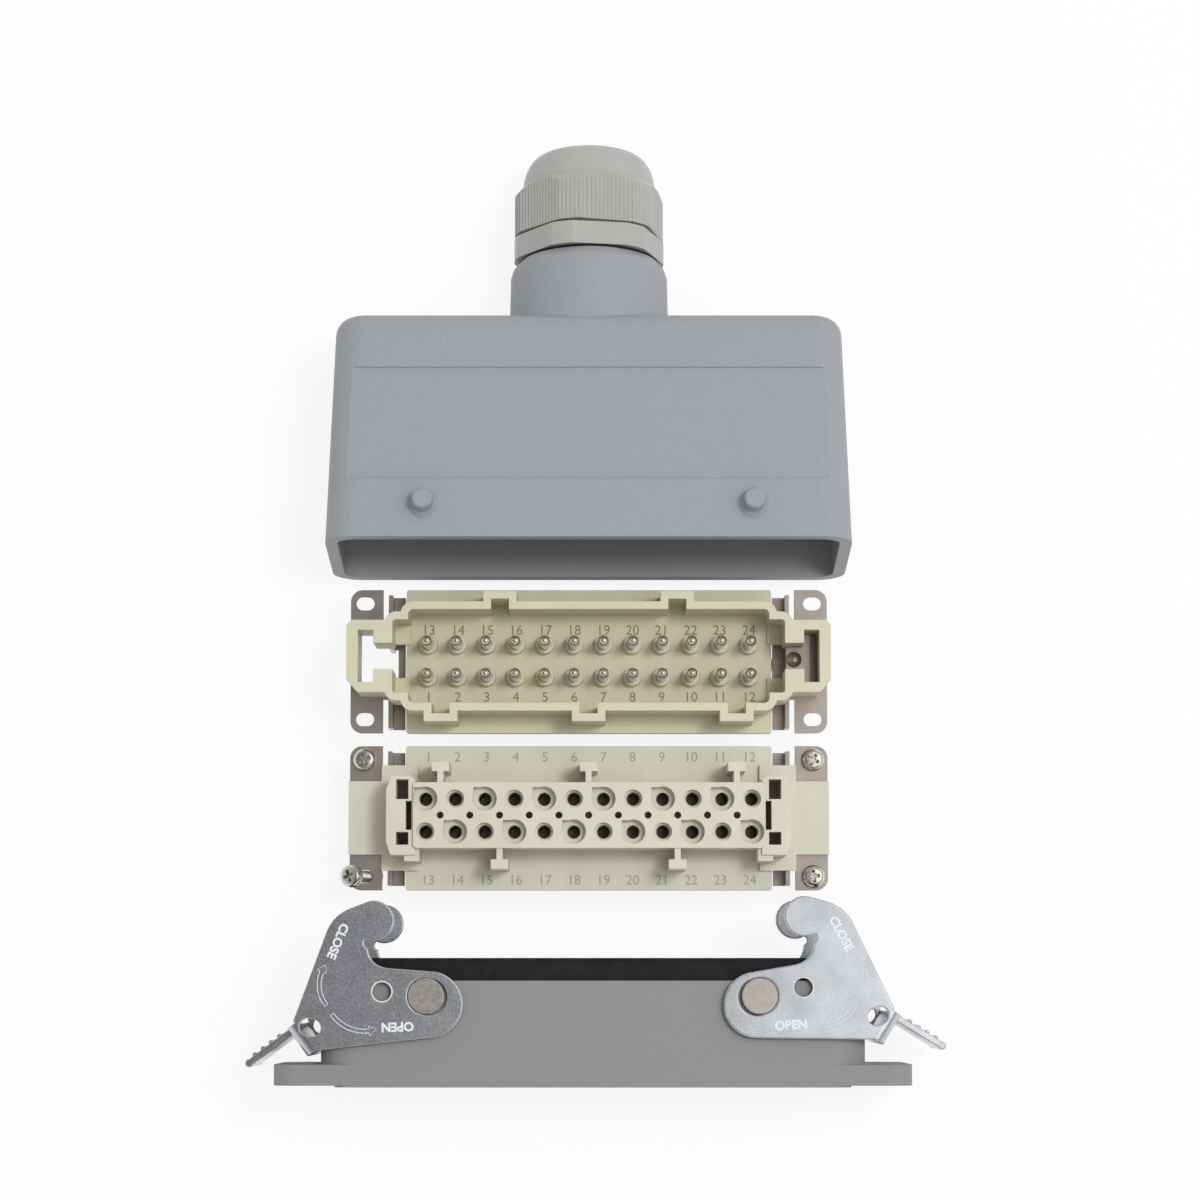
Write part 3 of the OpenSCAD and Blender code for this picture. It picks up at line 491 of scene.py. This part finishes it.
class LeverStamps(bpy.types.Operator):
    """Stamped words and arrows on both levers, and the turned-up rim of their small hole, in brightened zinc that
    paints their highlights
    """
    bl_idname = "connector.lever_stamps"
    bl_label = "Lever Stamps"

    # Places in millimetres from the lever's axis on the closed left lever, and angles in degrees
    words = (("CLOSE", -8.35, 21.6, -150), ("OPEN", -9.25, -1.8, 145))
    # Middle of an arrow's arc, its radius, and the angles where it begins and ends
    arrows = ((-11.8, 12.1, 7.24, 182.5, 106), (-10.35, 9.1, 8.9, 178.3, 250.7))
    hole_x, hole_y, hole_radius = -7.3, 6.7, 2.3

    def execute(self, context):
        finish, settings = context.scene.connector_finish, context.scene.connector_lettering
        # The stamps take the zinc made 1.4 times brighter: a painted highlight of the edges that catch the light
        burr = zinc_painted_highlight("Zinc Stamps Painted Highlight", [min(1, c * 1.4) for c in finish.zinc])
        sunk = LEVER_TOP - 0.02 * MM
        hole_middle = (self.hole_x * MM, self.hole_y * MM, 0)
        rim = [polar(hole_middle, self.hole_radius * MM, angle) for angle in range(0, 360, 12)]
        for side, name in ((-1, "left"), (1, "right")):
            bm = bmesh.new()
            sheet = Matrix.Translation((0, 0, sunk)) @ lever_frame(side)
            # The right lever's frame is mirrored, so its words are mirrored once more
            upright = Matrix.Identity(4) if side < 0 else Matrix.Diagonal((1, -1, 1, 1))
            for word, x, y, degrees in self.words:
                turn = Matrix.Rotation(math.radians(degrees), 4, "Z")
                place = sheet @ Matrix.Translation((x * MM, y * MM, 0)) @ turn @ upright
                write(bm, word, settings.word_height, settings.word_relief, place, settings.word_bold)
            for x, y, radius, begin, end in self.arrows:
                arrow(bm, (x * MM, y * MM, 0), radius * MM, begin, end, settings.stroke, sheet)
            # The rim round the small hole shares the brightened colour, a painted highlight of the hole's edge
            wire(bm, rim, settings.rim, sheet)
            piece(name + "_lever_stamps", bm, burr, "lever_" + name)
        return {"FINISHED"}


def ring_up(bm, ring, scale, lift):
    """Extrudes a ring of edges and gives the new one its scale and height."""
    out = bmesh.ops.extrude_edge_only(bm, edges=ring)["geom"]
    verts = [g for g in out if isinstance(g, bmesh.types.BMVert)]
    bmesh.ops.scale(bm, vec=(scale, scale, 1), verts=verts)
    bmesh.ops.translate(bm, vec=(0, 0, lift), verts=verts)
    return [g for g in out if isinstance(g, bmesh.types.BMEdge)]


def cross_screw(settings):
    """Pan-head screw with a cross recess and a real helical thread; its head rests at z = 0."""
    bm = bmesh.new()
    # Cross recess: a plus of twelve corners that narrows as it goes down
    arm, slot = settings.recess_arm, settings.recess_slot
    corners = [(slot, slot), (slot, arm), (-slot, arm), (-slot, slot), (-arm, slot), (-arm, -slot),
               (-slot, -slot), (-slot, -arm), (slot, -arm), (slot, -slot), (arm, -slot), (arm, slot)]
    plus = [bm.verts.new((x, y, settings.head_height)) for x, y in corners]
    mouth = [bm.edges.new((plus[i - 1], plus[i])) for i in range(len(plus))]
    floor = ring_up(bm, mouth, 0.62, -settings.recess_depth)
    bmesh.ops.contextual_create(bm, geom=floor)
    # Domed head: rings that run out from the recess and down to the bearing face, each as its
    # inset from the head's radius and its drop from the head's top, in millimetres
    dome = ((1.03, 0), (0.6, 0.1), (0.27, 0.38), (0.07, 0.8), (0, 1.25), (0, 1.98), (0.1, 2.1))
    rings = [(settings.head_radius - inset * MM, settings.head_height - drop * MM)
             for inset, drop in dome]
    radius, height = rings[0]
    circle = bmesh.ops.create_circle(bm, segments=settings.steps, radius=radius)["verts"]
    bmesh.ops.translate(bm, vec=(0, 0, height), verts=circle)
    crown = [e for e in bm.edges if e.verts[0] in circle and e.verts[1] in circle]
    bmesh.ops.bridge_loops(bm, edges=mouth + crown)
    for r, z in rings[1:]:
        crown = ring_up(bm, crown, r / radius, z - height)
        radius, height = r, z
    # Shank with a tapered tip
    tip = 0.4 * MM
    crown = ring_up(bm, crown, settings.core_radius / radius, 0)
    crown = ring_up(bm, crown, 1, tip - settings.shank)
    crown = ring_up(bm, crown, 0.7, -tip)
    bmesh.ops.contextual_create(bm, geom=crown)
    # Thread: a small triangle, rooted in the core, that is carried round it in a helix
    first, runout, steps = 0.5 * MM - settings.shank, 1.2 * MM, 14
    root, flank = settings.core_radius * 0.96, settings.pitch * 0.45
    turns = int((settings.shank - runout) / settings.pitch)
    tooth = [bm.verts.new(p) for p in ((root, 0, first - flank), (settings.thread_radius, 0, first),
                                       (root, 0, first + flank))]
    face = bm.faces.new(tooth)
    bmesh.ops.spin(bm, geom=[face, *tooth, *face.edges], cent=(0, 0, 0), axis=(0, 0, 1),
                   dvec=(0, 0, settings.pitch / steps), angle=2 * math.pi * turns, steps=turns * steps,
                   use_merge=False)
    return bm


class MountingScrews(bpy.types.Operator):
    """Four cross-recessed mounting screws; the lower left one is loose and leans"""
    bl_idname = "connector.mounting_screws"
    bl_label = "Mounting Screws"

    def execute(self, context):
        finish, settings = context.scene.connector_finish, context.scene.connector_screws
        one = cross_screw(settings)
        mesh = bpy.data.meshes.new("screw")
        one.to_mesh(mesh)
        one.free()
        # The loose screw leans in its slot and stands out of it
        aside, sunk, lean, out = 0.3 * MM, 0.5 * MM, -25, 4.9 * MM
        loose = (Matrix.Translation((FEMALE.x - SLOT_X - aside, FEMALE.y - SLOT_Y, FACE - sunk))
                 @ Matrix.Rotation(math.radians(lean), 4, "Y") @ Matrix.Translation((0, 0, out)))
        # Place of each screw, and how far its cross is turned
        places = [(Matrix.Translation((FEMALE.x + i * SLOT_X, FEMALE.y + j * SLOT_Y, FACE)), turn)
                  for i, j, turn in ((-1, 1, 25), (1, 1, 62), (1, -1, 8))]
        bm = bmesh.new()
        for place, turn in (*places, (loose, 20)):
            copy = mesh.copy()
            copy.transform(place @ Matrix.Rotation(math.radians(turn), 4, "Z"))
            bm.from_mesh(copy)
            bpy.data.meshes.remove(copy)
        bpy.data.meshes.remove(mesh)
        steel = turned_metal("Bright Zinc Screw Steel", finish.bright, 0.22)
        made = piece("mounting_screws", bm, steel, "root")
        for polygon in made.data.polygons:
            polygon.use_smooth = True
        made.data.set_sharp_from_angle(angle=math.radians(35))
        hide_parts("female_mounting_screws")
        return {"FINISHED"}


class Castings(bpy.types.Operator):
    """Powder-coated hood and bulkhead housing"""
    bl_idname = "connector.castings"
    bl_label = "Castings"

    def execute(self, context):
        finish = context.scene.connector_finish
        for name, paint, grain in (("hood", finish.hood_paint, 0.5 * MM),
                                   ("housing", finish.housing_paint, 0.4 * MM)):
            dress(powder_coat("Powder Coated Aluminium " + name.title(), paint, grain), name + "_shell")
        return {"FINISHED"}


class Inserts(bpy.types.Operator):
    """Moulded bodies of the male and female inserts, and their nickel-plated earth parts"""
    bl_idname = "connector.inserts"
    bl_label = "Inserts"

    def execute(self, context):
        finish = context.scene.connector_finish
        for name, shade in (("male", finish.male), ("female", finish.female)):
            dress(moulded(name.title() + " Insert Polycarbonate", shade, 0.42, Subsurface_Weight=0.08,
                          Subsurface_Scale=1.5 * MM), name + "_body")
        dress(rolled_sheet("Nickel Plated Sheet", finish.nickel), "male_earth_plate_left",
              "male_earth_plate_right", "female_earth_plate_left", "female_earth_plate_right",
              "male_earth_clamp", "female_earth_clamp")
        return {"FINISHED"}


class Contacts(bpy.types.Operator):
    """Silver-plated pins, sockets in brass darkened as painted shade, and the wire and earth screws"""
    bl_idname = "connector.contacts"
    bl_label = "Contacts"

    def execute(self, context):
        finish = context.scene.connector_finish
        dress(turned_metal("Silver Plated Brass", finish.silver, 0.2), "male_pins_upper",
              "male_pins_lower")
        # The sockets' darker brass is painted shade of their deep bores
        dress(turned_metal("Socket Brass With Painted Shade", finish.socket, 0.42), "female_sockets_upper",
              "female_sockets_lower")
        dress(turned_metal("Zinc Plated Terminal Screw", finish.bright, 0.3), "male_terminal_screws",
              "female_terminal_screws", "male_earth_screw", "female_earth_screw",
              "female_mounting_screws")
        return {"FINISHED"}


class Gland(bpy.types.Operator):
    """Polyamide body and nut of the cable gland"""
    bl_idname = "connector.gland"
    bl_label = "Cable Gland"

    def execute(self, context):
        finish = context.scene.connector_finish
        dress(moulded("Polyamide Gland", finish.gland, 0.34, bevel=0.15 * MM, Subsurface_Weight=0.06,
                      Subsurface_Scale=1 * MM), "gland_body", "gland_nut")
        return {"FINISHED"}


class Seals(bpy.types.Operator):
    """Rubber gasket, flange seal, gland washer and the seal inside the gland"""
    bl_idname = "connector.seals"
    bl_label = "Seals"

    def execute(self, context):
        finish = context.scene.connector_finish
        dress(rubber("Nitrile Rubber", finish.rubber), "housing_gasket", "flange_seal",
              "gland_washer", "gland_seal")
        return {"FINISHED"}


class Levers(bpy.types.Operator):
    """Zinc-plated locking levers on their pivots"""
    bl_idname = "connector.levers"
    bl_label = "Locking Levers"

    def execute(self, context):
        finish = context.scene.connector_finish
        dress(zinc_plate("Zinc Plated Steel Sheet", finish.zinc), "lever_left", "lever_right")
        dress(pivot_steel("Bare Rivet Steel", finish.pivot), "lever_pivots")
        return {"FINISHED"}


# ----------------------------------------------------------------- stage


def softbox(name, place, aim, width, depth, power):
    """Rectangular lamp that points at aim."""
    lamp = bpy.data.lights.new(name, "AREA")
    lamp.shape, lamp.size, lamp.size_y, lamp.energy = "RECTANGLE", width, depth, power
    made = bpy.data.objects.new(name, lamp)
    made.location = place
    made.rotation_euler = (Vector(aim) - place).to_track_quat("-Z", "Y").to_euler()
    bpy.context.scene.collection.objects.link(made)
    return made


class Stage(bpy.types.Operator):
    """Pale floor, surroundings, soft lights and camera"""
    bl_idname = "connector.stage"
    bl_label = "Stage"

    def execute(self, context):
        scene, settings = context.scene, context.scene.connector_stage
        self.floor(scene, settings)
        self.surroundings(scene, settings)
        # The small lamp casts the shadows, and the metal reflects the wide panel in its place
        key = softbox("key", settings.key_place, (0, 0, 0), settings.key_size, settings.key_size,
                      settings.key)
        key.visible_glossy = False
        softbox("panel", settings.panel_place, (*settings.panel_place.xy, 0), settings.panel_width,
                settings.panel_depth, settings.panel)
        self.camera(scene, settings)
        scene.view_settings.view_transform = "Standard"
        return {"FINISHED"}

    def floor(self, scene, settings):
        bm = bmesh.new()
        bmesh.ops.create_grid(bm, x_segments=4, y_segments=4, size=4)
        mesh = bpy.data.meshes.new("floor")
        bm.to_mesh(mesh)
        bm.free()
        mesh.materials.append(self.paper(settings.ground_glow))
        floor = bpy.data.objects.new("floor", mesh)
        scene.collection.objects.link(floor)

    def camera(self, scene, settings):
        lens = bpy.data.cameras.new("camera")
        lens.lens, lens.sensor_width = settings.lens, 36
        lens.clip_start, lens.clip_end = 0.05, 20
        camera = bpy.data.objects.new("camera", lens)
        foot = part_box("housing_shell")[0].y + settings.camera_back
        camera.location = (settings.camera_side, foot, settings.camera_height)
        camera.rotation_euler = (settings.camera_tilt, 0, 0)
        scene.collection.objects.link(camera)
        scene.camera = camera

    def paper(self, glow_share):
        """White paper sweep: a matt ground that shows as white and keeps a soft shadow."""
        white = linear("F4F4F4")
        material, tree, shader, here, _ = start("White Paper Ground", white, roughness=0.9)
        fibres = noise(tree, here, 1.2 * MM, 3)
        tint(tree, shader, spread(tree, fibres, 0, 1), white, 0.985, 1)
        seen = add(tree, "ShaderNodeLightPath").outputs
        either = add(tree, "ShaderNodeMath", {0: seen["Is Camera Ray"], 1: seen["Is Glossy Ray"]},
                     operation="MAXIMUM").outputs[0]
        glow = add(tree, "ShaderNodeEmission", {"Color": (1, 1, 1, 1), "Strength": 1})
        share = add(tree, "ShaderNodeMath", {0: either, 1: glow_share}, operation="MULTIPLY").outputs[0]
        mix = add(tree, "ShaderNodeMixShader", {0: share, 1: shader.outputs[0], 2: glow.outputs[0]})
        output = next(n for n in tree.nodes if n.type == "OUTPUT_MATERIAL")
        tree.links.new(mix.outputs[0], output.inputs["Surface"])
        return material

    def surroundings(self, scene, settings):
        """Even light all round. The camera sees it as white, and gloss sees it white at the
        horizon and dark overhead, so that flat metal faces show as grey."""
        world = bpy.data.worlds.new("surroundings")
        scene.world = world
        world.use_nodes = True
        tree = world.node_tree
        seen = add(tree, "ShaderNodeLightPath").outputs
        up = add(tree, "ShaderNodeSeparateXYZ", {0: add(tree, "ShaderNodeTexCoord").outputs["Generated"]})
        gloss = add(tree, "ShaderNodeMapRange", {"Value": up.outputs["Z"], "From Min": 0.1,
                                                 "From Max": 0.9, "To Min": 1.0,
                                                 "To Max": settings.zenith}).outputs[0]
        lit = {0: seen["Is Glossy Ray"], 2: settings.sky, 3: gloss}
        glossy = add(tree, "ShaderNodeMix", lit).outputs[0]
        value = add(tree, "ShaderNodeMix", {0: seen["Is Camera Ray"], 2: glossy, 3: 1.0}).outputs[0]
        background = next(n for n in tree.nodes if n.type == "BACKGROUND")
        background.inputs["Color"].default_value = (1, 1, 1, 1)
        tree.links.new(value, background.inputs["Strength"])


# ---------------------------------------------------------------- add-on


OPERATORS = (Castings, Inserts, Contacts, Gland, Seals, Levers, PinCollars, InsertNumbers, LeverStamps,
             MountingScrews, Stage)
SETTINGS = {"connector_finish": FinishSettings, "connector_lettering": LetteringSettings,
            "connector_screws": ScrewSettings, "connector_stage": StageSettings}


class ConnectorPanel(bpy.types.Panel):
    """Lists the connector's operators and settings"""
    bl_idname = "VIEW3D_PT_connector"
    bl_label = "Rectangular Connector"
    bl_space_type = "VIEW_3D"
    bl_region_type = "UI"
    bl_category = "Connector"

    def draw(self, context):
        for group in SETTINGS:
            box = self.layout.box()
            settings = getattr(context.scene, group)
            for key in settings.__annotations__:
                box.prop(settings, key)
        for operator in OPERATORS:
            self.layout.operator(operator.bl_idname)


def register():
    for cls in (*SETTINGS.values(), *OPERATORS, ConnectorPanel):
        bpy.utils.register_class(cls)
    for name, cls in SETTINGS.items():
        setattr(bpy.types.Scene, name, PointerProperty(type=cls))


def unregister():
    for name in SETTINGS:
        delattr(bpy.types.Scene, name)
    for cls in reversed((*SETTINGS.values(), *OPERATORS, ConnectorPanel)):
        bpy.utils.unregister_class(cls)


def main():
    register()
    for operator in OPERATORS:
        group, name = operator.bl_idname.split(".")
        getattr(getattr(bpy.ops, group), name)()


if __name__ == "__main__":
    main()
